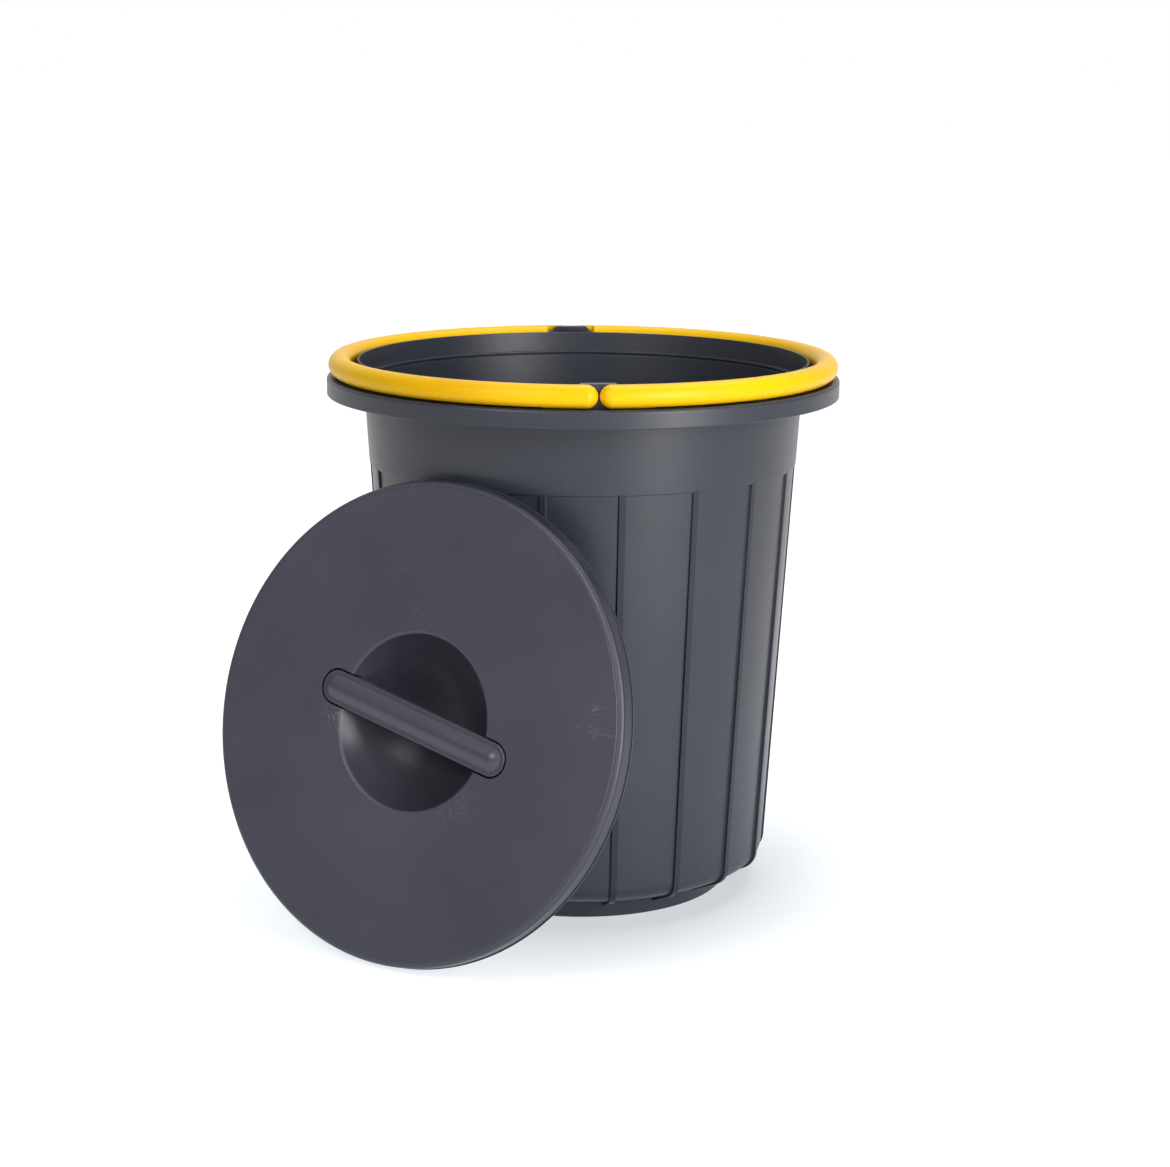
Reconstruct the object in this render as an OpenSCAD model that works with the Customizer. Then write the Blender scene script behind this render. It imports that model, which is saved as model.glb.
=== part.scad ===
// Round lidded bin with two swing-up half-ring handles.
// The origin is the centre of the base on the floor, +Z is up, and the two handle lugs stand on the Y axis.
// All lengths are in millimetres and all angles in degrees.

/* [Body] */
// Inner radius of the bin just below the ledge that carries the collar
throat_r = 148.2; // [140:0.1:160]
// Height of the rim's top face above the floor
rim_z = 355.4; // [320:0.2:400]
// Thickness of the moulded wall, the ledge and the rim
wall = 2; // [1.6:0.1:2.6]
// Lean of the side wall from upright
taper = 3.56; // [2.5:0.02:4.5]
// Height of the plain band from the rim's top face down to the panels
band_h = 59; // [40:0.5:80]
// How far the panels sit back from the plain band
panel_recess = 1.35; // [0.8:0.05:1.8]

/* [Heel and foot] */
// Radius of the round heel where the side wall turns under
heel_r = 11.3; // [8:0.1:15]
// Slope of the underside between the heel and the foot
heel_slope = 23; // [15:1:30]
// Radius of the foot where it meets the underside
foot_r = 103.3; // [96:0.1:110]
// Height of the foot
foot_h = 10.5; // [8:0.1:13]
// How much smaller the foot is at the floor
foot_draft = 1.5; // [0.5:0.1:3]
// Thickness of the foot's wall and of the floor plate
foot_wall = 2.5; // [2:0.1:3.5]
// Radius of the foot's rounded lower edge
foot_edge = 1.2; // [0.5:0.1:2]

/* [Ribs] */
// Number of upright ribs round the side
rib_count = 18; // [12:1:24]
// Width of a rib
rib_w = 4.3; // [3:0.1:6]
// How far a rib stands out from the panel at the heel
rib_rise = 2; // [1.4:0.1:3]
// Angle from the front lug to the first rib on its right
rib_phase = 6.6; // [0:0.1:19.9]

/* [Rim and collar] */
// Depth of the rim's downturned skirt, top face included
skirt_h = 12; // [8:0.2:16]
// Radius of the rim's rounded outer edge
rim_edge = 1.8; // [0.8:0.1:1.9]
// Drop from the rim's top face to the ledge inside
ledge_drop = 2; // [1:0.1:4]
// Width of the ledge inside the bin
ledge_w = 3.4; // [2.5:0.1:5]
// Height of the collar above the rim's top face
collar_h = 11.6; // [9:0.1:14]
// Thickness of the collar's wall at its foot
collar_wall = 2.6; // [2.2:0.1:3.4]
// How much the collar opens out from its foot to its top
collar_draft = 0.8; // [0:0.1:1]

/* [Handles] */
// Radius of a handle's round section
handle_r = 7.5; // [6.5:0.1:8.5]
// Free space between the closed lid and the handles
ring_gap = 2.2; // [1.6:0.1:4]
// Width of the rim left showing outside the handles
rim_margin = 1.2; // [0.5:0.1:4]
// Clearance between a resting handle and the rim
rest_gap = 0.35; // [0.3:0.05:0.6]
// Free space between the two handles' facing tips
tip_gap = 1; // [0.8:0.02:1.6]
// Half width of the channel under a handle
channel_w = 3.8; // [3:0.1:4.4]
// Thickness of a handle above its channel
channel_roof = 2.4; // [2:0.1:3]
// Angle from a pivot to the channel's end, seen from the bin's middle
channel_start = 12; // [9:0.5:20]

/* [Lugs and pivots] */
// Thickness of a lug, measured outward
lug_t = 6; // [5:0.1:7]
// Distance from a pivot to the side of its lug
lug_side = 8.45; // [7.6:0.05:9.5]
// Height of a lug's upright side above the pivots
lug_shoulder = 2; // [1:0.1:3]
// Clearance between the closed lid and a lug
lug_gap = 0.8; // [0.5:0.1:1.2]
// Clearance between a lug and the flat face of a handle's tip
tongue_gap = 0.35; // [0.3:0.05:0.6]
// Clearance between a lug's side and the cut-away end of a handle
end_gap = 0.9; // [0.7:0.05:1.5]
// Radius of a pivot pin
pin_r = 3; // [2.4:0.1:3.6]
// Radial clearance of a pivot pin in its bore
pin_clearance = 0.1; // [0.05:0.01:0.1]
// Length of a pin's chamfered nose
pin_nose = 0.7; // [0.3:0.1:1.2]
// Distance from a pin's nose to the inner face of its lug
pin_stop = 0.8; // [0.5:0.1:1.5]

/* [Lid] */
// Thickness of the lid's shell
lid_wall = 2; // [1.6:0.1:2.6]
// Clearance between the collar and the lid's skirt
lid_gap = 0.5; // [0.3:0.05:0.8]
// Space between the closed lid's skirt and the rim
skirt_gap = 1; // [0.5:0.1:2]
// Radius of the lid's rounded edge
lid_edge = 5; // [3.5:0.1:6]
// How much wider the lid's skirt is at its open end
lid_draft = 0.4; // [0:0.1:1]
// Radius of the finger bowl where it meets the lid's face
bowl_r = 57.3; // [50:0.1:62]
// Depth of the finger bowl
bowl_depth = 34; // [28:0.5:40]
// Radius of the finger bowl's rounded rim
bowl_edge = 2.6; // [1.5:0.1:3.5]

/* [Grip bar] */
// Distance from the lid's middle to the centre of the bar's round end
bar_half = 64.4; // [62:0.1:68]
// Half width of the bar
bar_r = 10.9; // [9.5:0.1:12]
// Thickness of the bar below the lid's face
bar_t = 7; // [6:0.1:8]
// Radius of the bar's rounded upper edge
bar_edge = 0.9; // [0.5:0.1:1.2]
// Clearance all round the bar in its pocket
bar_gap = 0.8; // [0.5:0.1:1]
// Half width of the raised ridge on the bar
ridge_w = 7.6; // [6:0.1:8.5]
// Height of the raised ridge
ridge_h = 3; // [2:0.1:4]
// Turn of the bar in the lid's face, seen from the front
bar_turn = -12.6; // [-45:0.2:45]
// Thickness of the bar's shell
bar_wall = 2.4; // [2:0.1:3]
// Width of a clip leg
clip_w = 9; // [7:0.5:11]
// Thickness of a clip leg
clip_t = 2.2; // [1.8:0.1:2.8]
// How far a clip's hook reaches out under the pocket's floor
clip_hook = 1.2; // [0.8:0.1:1.6]
// Clearance of a clip leg in its slot
clip_gap = 0.3; // [0.2:0.05:0.5]

/* [Lid leaning on the bin] */
// Direction in which the lid leans on the bin, from the front lug towards -X
lid_azimuth = 35.8; // [20:0.2:60]
// How far the lid's face is turned up from upright
lid_tilt = 15.5; // [13:0.1:20]
// Clearance between the lid and the bin where it leans
lean_gap = 0.3; // [0.2:0.05:0.5]

/* [Hidden] */
$fn = 180;
// Overrun of every cut past the face that it opens
over = 1;

// Side wall, as the outline of the panels
band_z = rim_z - band_h;
band_r = throat_r + wall - band_h * tan(taper);
panel_r = band_r - panel_recess;
panel_foot_r = panel_r - band_z * tan(taper);

// Underside, from the foot out to the heel
seat = [foot_r, foot_h];
under = [sin(heel_slope), -cos(heel_slope)];
rib_seat = seat + rib_rise * under;

// Ribs: flush with the band at their top, proud by rib_rise at the heel
rib_slope = (panel_recess - rib_rise) / (band_z - heel_r - foot_h) + tan(taper);
rib_foot_r = band_r - band_z * rib_slope;

// Inside of the bin
inner_foot_r = foot_r - foot_wall;
inner_seat = [
    inner_foot_r,
    foot_h + wall / cos(heel_slope) - foot_wall * tan(heel_slope)
];
inner_wall_foot_r = panel_foot_r - wall / cos(taper);

// Rim, ledge and collar
ledge_z = rim_z - ledge_drop;
ledge_r = throat_r - ledge_drop * tan(taper);
collar_in = ledge_r + ledge_w;
collar_out = collar_in + collar_wall;
collar_z = rim_z + collar_h;
collar_top_in = collar_in + collar_draft;
// Radius of the collar's rounded top
collar_lip = (collar_out - collar_top_in) / 2;

// Lid, in its own frame: face at zero and looking up, middle on the axis
lid_in = collar_out + lid_gap;
lid_out = lid_in + lid_wall;
lid_h = collar_h + lid_wall - skirt_gap;
bowl_ball = (bowl_r * bowl_r + bowl_depth * bowl_depth) / (2 * bowl_depth);
bowl_ball_z = bowl_ball - bowl_depth;
bowl_edge_r = sqrt(pow(bowl_ball + bowl_edge, 2) - pow(bowl_ball_z + bowl_edge, 2));

// Handles: they lie on the rim round the closed lid
ring_r = lid_out + ring_gap + handle_r;
rim_r = ring_r + handle_r + rim_margin;
// The ball that shapes a tip is a little larger than the handle's section, so the two cross cleanly
tip_r = handle_r + 0.05;
pivot_x = tip_r + tip_gap / 2;
pivot_z = rim_z + rest_gap + handle_r;
pivot_y = sqrt(ring_r * ring_r - pivot_x * pivot_x);

// Lugs
lug_in = lid_out + lug_gap;
lug_out = lug_in + lug_t;
lug_half = pivot_x + lug_side;
lug_top = pivot_z + handle_r;
lug_corner = handle_r - lug_shoulder;
tongue_y = lug_out + tongue_gap;
cut_x = lug_half + end_gap;

// Grip bar
pocket_r = bar_r + bar_gap;
ridge_ball = (ridge_w * ridge_w + ridge_h * ridge_h) / (2 * ridge_h);
clip_x = bar_half + bar_r / 2;
channel_half = bar_half - bar_r;

// Outer radius of the bin at a height, ribs included
function side_r(z) = z > band_z
    ? band_r + (z - band_z) * tan(taper)
    : rib_foot_r + z * rib_slope;

// Where the leaning lid touches the floor and the bin
lean_rise = lid_out * cos(lid_tilt);
lean_top_r = side_r(2 * lean_rise) + lean_gap;
lean_r = lean_top_r + lid_out * sin(lid_tilt) + lid_h * cos(lid_tilt);
lean_z = lean_rise + lid_h * sin(lid_tilt);

// Centre of the circle that rounds the corner between a wall line and the underside line:
// the wall line has the radius wall_foot at the floor and leans out by slope,
// and the underside line passes through from.
function heel_centre(wall_foot, slope, from, radius) =
    let (
        lift = from + radius * [-sin(heel_slope), cos(heel_slope)],
        side = radius * sqrt(1 + slope * slope),
        run = (wall_foot + lift[1] * slope - side - lift[0]) / (cos(heel_slope) - sin(heel_slope) * slope)
    )
    lift + run * [cos(heel_slope), sin(heel_slope)];

// Half section from the axis out to a leaning wall, with a round heel and a sloping underside
module heeled_section(wall_foot, slope, from, radius, top) {
    centre = heel_centre(wall_foot, slope, from, radius);
    lean = atan(slope);
    polygon([
        [0, from[1]],
        from,
        centre + radius * under,
        centre + radius * [cos(lean), -sin(lean)],
        [wall_foot + top * slope, top],
        [0, top]
    ]);
    translate(centre) circle(radius);
}

// Half section of a plate with its upper outer corner rounded
module plate_section(inner, outer, low, high, edge) {
    polygon([
        [inner, low],
        [outer, low],
        [outer, high - edge],
        [outer - edge, high],
        [inner, high]
    ]);
    translate([outer - edge, high - edge]) intersection() {
        circle(edge);
        square(edge);
    }
}

// Half section of the foot, with its rounded lower edge
module foot_section() {
    low_r = foot_r - foot_draft;
    polygon([
        [0, 0],
        [low_r - foot_edge, 0],
        [low_r, foot_edge],
        [foot_r, foot_h],
        [foot_r, foot_h + wall],
        [0, foot_h + wall]
    ]);
    translate([low_r - foot_edge, foot_edge]) circle(foot_edge);
}

// Half section of the band, the rim with its skirt, the ledge and the collar
module rim_section() {
    polygon([
        [0, band_z],
        [band_r, band_z],
        [throat_r + wall, rim_z],
        [0, rim_z]
    ]);
    plate_section(ledge_r, rim_r, rim_z - wall, rim_z, rim_edge);
    translate([rim_r - wall, rim_z - skirt_h]) square([wall, skirt_h - rim_edge]);
    translate([ledge_r, ledge_z - wall]) square([collar_out - ledge_r, wall + over]);
    translate([collar_in, ledge_z - wall]) square([collar_wall, collar_z - ledge_z + wall - collar_lip]);
    translate([collar_out - collar_lip, collar_z - collar_lip]) circle(collar_lip);
}

// Half section of the space inside the bin
module cavity_section() {
    polygon([
        [0, foot_wall],
        [inner_foot_r - foot_draft, foot_wall],
        inner_seat,
        inner_seat + [0, over],
        [0, inner_seat[1] + over]
    ]);
    heeled_section(inner_wall_foot_r, tan(taper), inner_seat, heel_r - wall, band_z);
    polygon([
        [0, band_z],
        [inner_wall_foot_r + band_z * tan(taper), band_z],
        [ledge_r, ledge_z],
        [collar_in, ledge_z],
        [collar_top_in, collar_z - collar_lip],
        [collar_top_in, collar_z + over],
        [0, collar_z + over]
    ]);
}

// Upright ribs, running down the panels and round the heel to the foot
module ribs() {
    intersection() {
        rotate_extrude() heeled_section(rib_foot_r, rib_slope, rib_seat, heel_r + rib_rise, band_z);
        for (i = [0 : rib_count - 1])
            rotate(rib_phase + i * 360 / rib_count - 90)
                translate([foot_r - foot_wall / 2, -rib_w / 2, 0])
                    cube([band_r, rib_w, band_z]);
    }
}

// Outline of a lug, looking along Y
module lug_outline() {
    polygon([
        [-lug_half, rim_z - wall / 2],
        [lug_half, rim_z - wall / 2],
        [lug_half, lug_top - lug_corner],
        [lug_half - lug_corner, lug_top],
        [-lug_half + lug_corner, lug_top],
        [-lug_half, lug_top - lug_corner]
    ]);
}

// Lug with its two pivot bores, on the -Y side
module lug() {
    translate([0, -lug_in, 0]) rotate([90, 0, 0]) linear_extrude(lug_t) difference() {
        lug_outline();
        for (side = [-1, 1])
            translate([side * pivot_x, pivot_z]) circle(pin_r + pin_clearance);
    }
}

module bin_body() {
    color("slategray") {
        difference() {
            union() {
                rotate_extrude() {
                    heeled_section(panel_foot_r, tan(taper), seat, heel_r, band_z);
                    foot_section();
                    rim_section();
                }
                ribs();
            }
            rotate_extrude() cavity_section();
        }
        lug();
        rotate(180) lug();
    }
}

// Section of the channel under a handle
module channel_section() {
    roof_z = handle_r - channel_roof - channel_w;
    translate([-channel_w, -handle_r - over]) square([2 * channel_w, handle_r + over + roof_z]);
    translate([0, roof_z]) circle(channel_w);
}

// Part of a ring on the +X side, whose ends lie at an angle from the Y axis
module half_ring(start) {
    rotate(start - 90) rotate_extrude(angle = 180 - 2 * start) translate([ring_r, 0]) children();
}

// What is cut from one end of a half ring to leave a ball-shaped tip: side is -1 at the front and 1 at the back
module tip_cut(side) {
    half = handle_r + over;
    difference() {
        translate([-over, side * ring_r - half, -half]) cube([pivot_x + over, 2 * half, 2 * half]);
        translate([pivot_x, side * pivot_y, 0]) sphere(tip_r);
    }
}

// Pivot pin with a chamfered nose, which points in from the same tip
module pivot_pin(side) {
    length = pivot_y - lug_in - pin_stop;
    translate([pivot_x, side * pivot_y, 0]) rotate([side * 90, 0, 0]) {
        cylinder(h = length - pin_nose, r = pin_r);
        translate([0, 0, length - pin_nose]) cylinder(h = pin_nose, r1 = pin_r, r2 = pin_r - pin_nose);
    }
}

// Half-ring handle on the +X side: round outside, channelled underneath,
// and cut away beside the lugs so that only a flat-backed tip passes each of them.
module handle() {
    translate([0, 0, pivot_z]) {
        difference() {
            half_ring(0) circle(handle_r);
            half_ring(channel_start) channel_section();
            translate([-over, -tongue_y, -handle_r - over])
                cube([cut_x + over, 2 * tongue_y, 2 * (handle_r + over)]);
            tip_cut(-1);
            tip_cut(1);
        }
        pivot_pin(-1);
        pivot_pin(1);
    }
}

module right_handle() {
    color("gold") handle();
}

module left_handle() {
    color("gold") rotate(180) handle();
}

// Puts the lid's own frame where the lid leans on the bin
module leaning() {
    rotate(-lid_azimuth) translate([0, -lean_r, lean_z]) rotate([90 - lid_tilt, 0, 0]) children();
}

// A half section swept round a bar with round ends, which lies along X
module bar_sweep(half_length) {
    for (side = [-1, 1])
        translate([side * half_length, 0, 0]) rotate_extrude() children();
    rotate([90, 0, 90]) linear_extrude(2 * half_length, center = true) {
        children();
        mirror([1, 0, 0]) children();
    }
}

// Half section of the lid's shell, without the bowl
module lid_section() {
    face_r = lid_out - lid_draft - lid_edge;
    difference() {
        union() {
            polygon([
                [0, 0],
                [face_r, 0],
                [face_r + lid_edge, -lid_edge],
                [lid_out, -lid_h],
                [0, -lid_h]
            ]);
            translate([face_r, -lid_edge]) circle(lid_edge);
        }
        polygon([
            [0, -lid_wall],
            [face_r, -lid_wall],
            [face_r + lid_edge - lid_wall, -lid_edge],
            [lid_in, -lid_h],
            [lid_in, -lid_h - over],
            [0, -lid_h - over]
        ]);
        translate([face_r, -lid_edge]) circle(lid_edge - lid_wall);
    }
}

// Half section of the space in the bowl, with the rounded rim taken off
module bowl_section() {
    intersection() {
        translate([0, bowl_ball_z]) circle(bowl_ball);
        translate([0, -bowl_depth]) square([bowl_r, bowl_depth + over]);
    }
    difference() {
        polygon([
            [0, bowl_ball_z],
            [bowl_edge_r, -bowl_edge],
            [bowl_edge_r, over]
        ]);
        translate([bowl_edge_r, -bowl_edge]) circle(bowl_edge);
    }
}

// Half section of the bowl's outside, under the lid's face
module bowl_shell_section() {
    intersection() {
        translate([0, bowl_ball_z]) circle(bowl_ball + lid_wall);
        translate([0, -bowl_depth - lid_wall]) square([bowl_ball, bowl_depth + lid_wall / 2]);
    }
}

// Slot for a clip leg, or the leg itself, standing on a height
module clip_block(clearance, low, high) {
    translate([clip_x - clip_t / 2 - clearance, -clip_w / 2 - clearance, low])
        cube([clip_t + 2 * clearance, clip_w + 2 * clearance, high - low]);
}

module lid() {
    color("dimgray") leaning() difference() {
        union() {
            rotate_extrude() {
                lid_section();
                bowl_shell_section();
            }
            rotate(bar_turn) bar_sweep(bar_half)
                translate([0, -bar_t - lid_wall]) square([pocket_r + lid_wall, bar_t + lid_wall / 2]);
        }
        rotate_extrude() bowl_section();
        rotate(bar_turn) {
            bar_sweep(bar_half) translate([0, -bar_t]) square([pocket_r, bar_t + over]);
            for (turn = [0, 180])
                rotate(turn) clip_block(clip_gap, -bar_t - lid_wall - over, -bar_t + over);
        }
    }
}

// Half section of the grip bar: a flat margin with a rounded edge, and the raised ridge
module bar_section() {
    plate_section(0, bar_r, -bar_t, 0, bar_edge);
    intersection() {
        translate([0, ridge_h - ridge_ball]) circle(ridge_ball);
        translate([0, -bar_wall]) square([ridge_w, bar_wall + ridge_h]);
    }
}

// Clip leg with its hook, under the bar's +X end
module clip() {
    hook_top = -bar_t - lid_wall - clip_gap / 2;
    clip_block(0, hook_top - 2 * clip_hook, -bar_t + over);
    translate([clip_x + clip_t / 2, clip_w / 2, hook_top]) rotate([90, 0, 0]) linear_extrude(clip_w)
        polygon([
            [-clip_t / 2, 0],
            [clip_hook, 0],
            [0, -2 * clip_hook],
            [-clip_t / 2, -2 * clip_hook]
        ]);
}

module lid_grip() {
    color("dimgray") leaning() rotate(bar_turn) {
        difference() {
            bar_sweep(bar_half) bar_section();
            bar_sweep(channel_half - bar_r)
                translate([0, -bar_t - over]) square([bar_r - bar_wall, bar_t + over - bar_wall]);
        }
        for (turn = [0, 180])
            rotate(turn) clip();
    }
}

bin_body();
left_handle();
right_handle();
lid();
lid_grip();
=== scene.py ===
"""Dresses a round lidded bin: its shell, ribs, lugs, half-ring handles, lid and grip bar."""

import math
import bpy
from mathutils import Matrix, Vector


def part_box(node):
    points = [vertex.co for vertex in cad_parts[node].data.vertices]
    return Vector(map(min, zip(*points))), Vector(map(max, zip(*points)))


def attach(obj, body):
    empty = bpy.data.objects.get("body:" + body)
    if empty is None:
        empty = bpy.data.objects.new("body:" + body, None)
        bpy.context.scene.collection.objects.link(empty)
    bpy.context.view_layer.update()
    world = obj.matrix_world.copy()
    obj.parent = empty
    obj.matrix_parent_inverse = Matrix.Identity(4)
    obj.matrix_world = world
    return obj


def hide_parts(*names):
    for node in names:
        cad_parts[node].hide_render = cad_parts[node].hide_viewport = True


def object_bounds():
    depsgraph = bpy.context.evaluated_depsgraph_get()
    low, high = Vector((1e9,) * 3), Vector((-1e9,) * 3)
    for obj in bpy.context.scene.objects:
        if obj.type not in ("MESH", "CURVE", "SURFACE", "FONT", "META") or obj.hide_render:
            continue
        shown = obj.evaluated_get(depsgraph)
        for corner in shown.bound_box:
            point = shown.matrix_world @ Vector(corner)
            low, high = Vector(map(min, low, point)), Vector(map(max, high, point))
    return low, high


bl_info = {
    "name": "Lidded Bin",
    "version": (1, 0, 0),
    "blender": (4, 5, 0),
    "location": "View3D > Sidebar > Lidded Bin",
    "description": "Builds the visible pieces of a round bin with a loose lid and swing handles",
    "category": "Add Mesh",
}

import bmesh
import bpy
from bpy.props import FloatProperty, FloatVectorProperty, IntProperty, PointerProperty
from mathutils import Matrix, Vector

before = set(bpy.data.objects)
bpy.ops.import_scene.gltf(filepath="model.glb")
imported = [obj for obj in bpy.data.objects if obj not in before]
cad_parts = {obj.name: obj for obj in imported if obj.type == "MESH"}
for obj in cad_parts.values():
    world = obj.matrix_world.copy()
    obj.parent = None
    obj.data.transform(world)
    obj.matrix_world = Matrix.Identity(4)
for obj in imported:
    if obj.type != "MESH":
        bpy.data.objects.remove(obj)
CAD_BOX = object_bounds()
BODY_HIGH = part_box("bin_body")[1]
MM = 0.001

# Moulded plastic: scales of its noise in features per metre, and depths of its relief
CLOUD_SCALE = 9.0
PATCH_SCALE = 14.0
LINE_SCALES = (42.0, 95.0)
MOTTLE_SCALE = 220.0
FLECK_SCALE = 1900.0
GRAIN_DEPTH = 0.06 * MM
WAVER_DEPTH = 0.4 * MM
SCUFF_REACH = 20.0 * MM

# Meshes: the longest support edge beside a rounding, and what counts as one point
SUPPORT = 0.2 * MM
ON_AXIS = 1e-7
SAME_POINT = 1e-6

# Stage: the floor, the point that the lamps look at, and the lamps by name, place, width and height
FLOOR_RADIUS = 12.0
FLOOR_GAP = 0.2 * MM
# Bluish tint of the floor's glow near the object: the colour of a painted shadow
FLOOR_SHADE_TINT = (0.90, 0.95, 1.0)
WHITE = (1.0, 1.0, 1.0)
AIM = (0.0, 0.0, 0.18)
LAMPS = (
    ("key", (1.3, -1.78, 0.75), 0.8, 1.5),
    ("fill", (-1.15, -1.5, 1.5), 1.0, 1.0),
    ("top", (0.35, 0.5, 2.1), 1.6, 1.2),
)


def length(name, description, millimetres):
    """A length property whose default is given in millimetres."""
    return FloatProperty(
        name=name, description=description, default=millimetres * MM, unit="LENGTH", precision=5,
    )


def angle(name, description, degrees):
    """An angle property whose default is given in degrees."""
    return FloatProperty(
        name=name, description=description, default=math.radians(degrees), unit="ROTATION",
    )


def number(name, description, value, low, high):
    """A whole number between two limits."""
    return IntProperty(name=name, description=description, default=value, min=low, max=high)


def position(name, description, millimetres):
    """A place whose default is given in millimetres."""
    metres = tuple(v * MM for v in millimetres)
    return FloatVectorProperty(
        name=name, description=description, default=metres, size=3, subtype="TRANSLATION",
    )


def share(name, description, value):
    """A property between zero and one."""
    return FloatProperty(
        name=name, description=description, default=value, min=0.0, max=1.0, subtype="FACTOR",
    )


def colour(name, description, value):
    """A linear colour property."""
    return FloatVectorProperty(
        name=name, description=description, default=value, size=3, subtype="COLOR",
    )


def power(name, description, watts):
    """The power of a lamp."""
    return FloatProperty(name=name, description=description, default=watts, unit="POWER")


class ShellSizes(bpy.types.PropertyGroup):
    """Sizes of the moulded shell of the bin."""

    rim_radius: length("Rim radius", "Outer radius of the rim", BODY_HIGH.y / MM)
    rim_height: length("Rim height", "Height of the rim's top face", 355.4)
    throat_radius: length("Throat radius", "Inner radius just below the ledge", 148.2)
    wall: length("Wall", "Thickness of the moulded wall", 2.0)
    taper: angle("Taper", "Lean of the side wall from upright", 3.56)
    band_height: length("Band height", "Height of the plain band under the rim", 59.0)
    panel_recess: length("Panel recess", "How far the panels sit back from the band", 1.35)
    heel_radius: length("Heel radius", "Radius where the side wall turns under", 11.3)
    heel_slope: angle("Heel slope", "Slope of the underside outside the foot", 23.0)
    foot_radius: length("Foot radius", "Radius of the foot at the underside", 103.3)
    foot_height: length("Foot height", "Height of the foot", 10.5)
    foot_draft: length("Foot draft", "How much smaller the foot is at the floor", 1.5)
    foot_wall: length("Foot wall", "Thickness of the foot and the floor plate", 2.5)
    skirt_height: length("Skirt height", "Height of the rim's downturned skirt", 12.0)
    rim_round: length("Rim rounding", "Radius of the rim's outer edge", 1.8)
    ledge_drop: length("Ledge drop", "Drop from the rim to the ledge inside", 2.0)
    ledge_width: length("Ledge width", "Width of the ledge inside", 3.4)
    ledge_lip: length("Ledge lip", "Height of the lip at the ledge's inner edge", 1.2)
    ledge_groove: length("Ledge groove", "Depth of the groove below the ledge's lip", 0.9)
    collar_height: length("Collar height", "Height of the collar above the rim", 11.6)
    collar_wall: length("Collar wall", "Thickness of the collar", 2.6)
    collar_draft: length("Collar draft", "How much the collar opens towards its top", 1.5)
    corner: length("Corner", "Small radius on the shell's moulded corners", 0.6)
    steps: number("Steps", "Segments round the shell", 360, 48, 720)


class RibSizes(bpy.types.PropertyGroup):
    """Sizes of the upright ribs."""

    count: number("Count", "Number of ribs round the side", 18, 3, 60)
    width: length("Width", "Width of a rib", 4.3)
    rise: length("Rise", "How far a rib stands out at the heel", 2.0)
    phase: angle("Phase", "Angle from the front lug to the first rib", 6.6)
    edge: length("Edge", "Radius on a rib's outer edges", 0.45)
    root: length("Root", "Radius where a rib meets the panel", 0.5)
    sink: length("Sink", "How far a rib is sunk in the wall", 0.4)


class LugSizes(bpy.types.PropertyGroup):
    """Sizes of the two handle lugs."""

    inner: length("Inner face", "Distance from the bin's axis to a lug's inner face", 157.38)
    thickness: length("Thickness", "Thickness of a lug", 6.0)
    half_width: length("Half width", "Half width of a lug", 16.5)
    corner: length("Corner", "Chamfer of a lug's upper corners", 5.5)
    edge: length("Edge", "Rounding of a lug's edges", 0.5)
    bore: length("Bore", "Radius of a pivot bore", 3.1)
    pivot_side: length("Pivot side", "Distance from the middle of a lug to a pivot", 8.05)
    pivot_height: length("Pivot height", "Height of the pivots", 363.25)


class LidSizes(bpy.types.PropertyGroup):
    """Sizes of the lid's moulded edge, in the lid's own frame with its face at height zero."""

    azimuth: angle("Azimuth", "Direction in which the lid leans, from the front lug", 35.8)
    tilt: angle("Tilt", "How far the lid's face is turned up from upright", 15.5)
    step: length("Step", "Depth of the fine step round the face", 0.35)
    shoulder: length("Shoulder", "Radius of the rounded shoulder", 3.7)
    skirt_radius: length("Skirt radius", "Radius of the skirt above its lip", 155.7)
    lip_radius: length("Lip radius", "Radius of the lip at the skirt's open end", 156.35)
    lip: length("Lip", "Height of the lip", 1.1)
    groove: length("Groove", "Depth and width of the fine groove above the lip", 0.4)
    depth: length("Depth", "Height of the lid's skirt", 12.6)
    wall: length("Wall", "Thickness of the face", 2.0)
    skirt_inside: length("Skirt inside", "Inner radius of the skirt at its open end", 154.6)
    edge: length("Edge", "Radius of the small edges", 0.25)
    bowl_radius: length("Bowl radius", "Radius of the finger bowl", 57.3)
    bowl_depth: length("Bowl depth", "Depth of the finger bowl", 34.0)
    bowl_edge: length("Bowl edge", "Radius of the bowl's rolled rim", 2.6)
    pocket_radius: length("Pocket radius", "Radius of the ends of the bar's pocket", 12.1)
    pocket_half: length("Pocket half length", "From the lid's middle to the pocket's round ends", 64.4)
    pocket_depth: length("Pocket depth", "Depth of the bar's pocket", 7.0)
    bar_turn: angle("Bar turn", "Turn of the bar in the lid's face", -12.6)
    clip_place: length("Clip place", "Distance of a clip slot from the lid's middle", 69.85)
    clip_width: length("Clip width", "Half length of a clip slot between its round ends", 3.8)
    clip_radius: length("Clip radius", "Radius of a clip slot's ends", 1.4)
    steps: number("Steps", "Segments round the lid", 240, 48, 720)


class GripSizes(bpy.types.PropertyGroup):
    """Sizes of the grip bar that bridges the finger bowl; its length and depth are the pocket's."""

    radius: length("Radius", "Radius of the bar's round ends", 10.9)
    edge: length("Edge", "Rounding of the bar's outer edge", 0.9)
    ridge: length("Ridge", "Half width of the raised middle at its foot", 7.6)
    rise: length("Rise", "Height of the raised middle", 3.0)
    wall: length("Wall", "Thickness of the bar over its hollow", 2.4)
    hollow: length("Hollow", "Half length of the hollow between its round ends", 42.6)
    clip_width: length("Clip width", "Width of a snap leg", 9.0)
    clip_wall: length("Clip wall", "Thickness of a snap leg", 2.2)
    clip_hook: length("Clip hook", "How far a snap leg's hook stands out", 1.2)
    clip_play: length("Clip play", "Gap between a hook and the underside of the pocket", 0.15)


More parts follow.
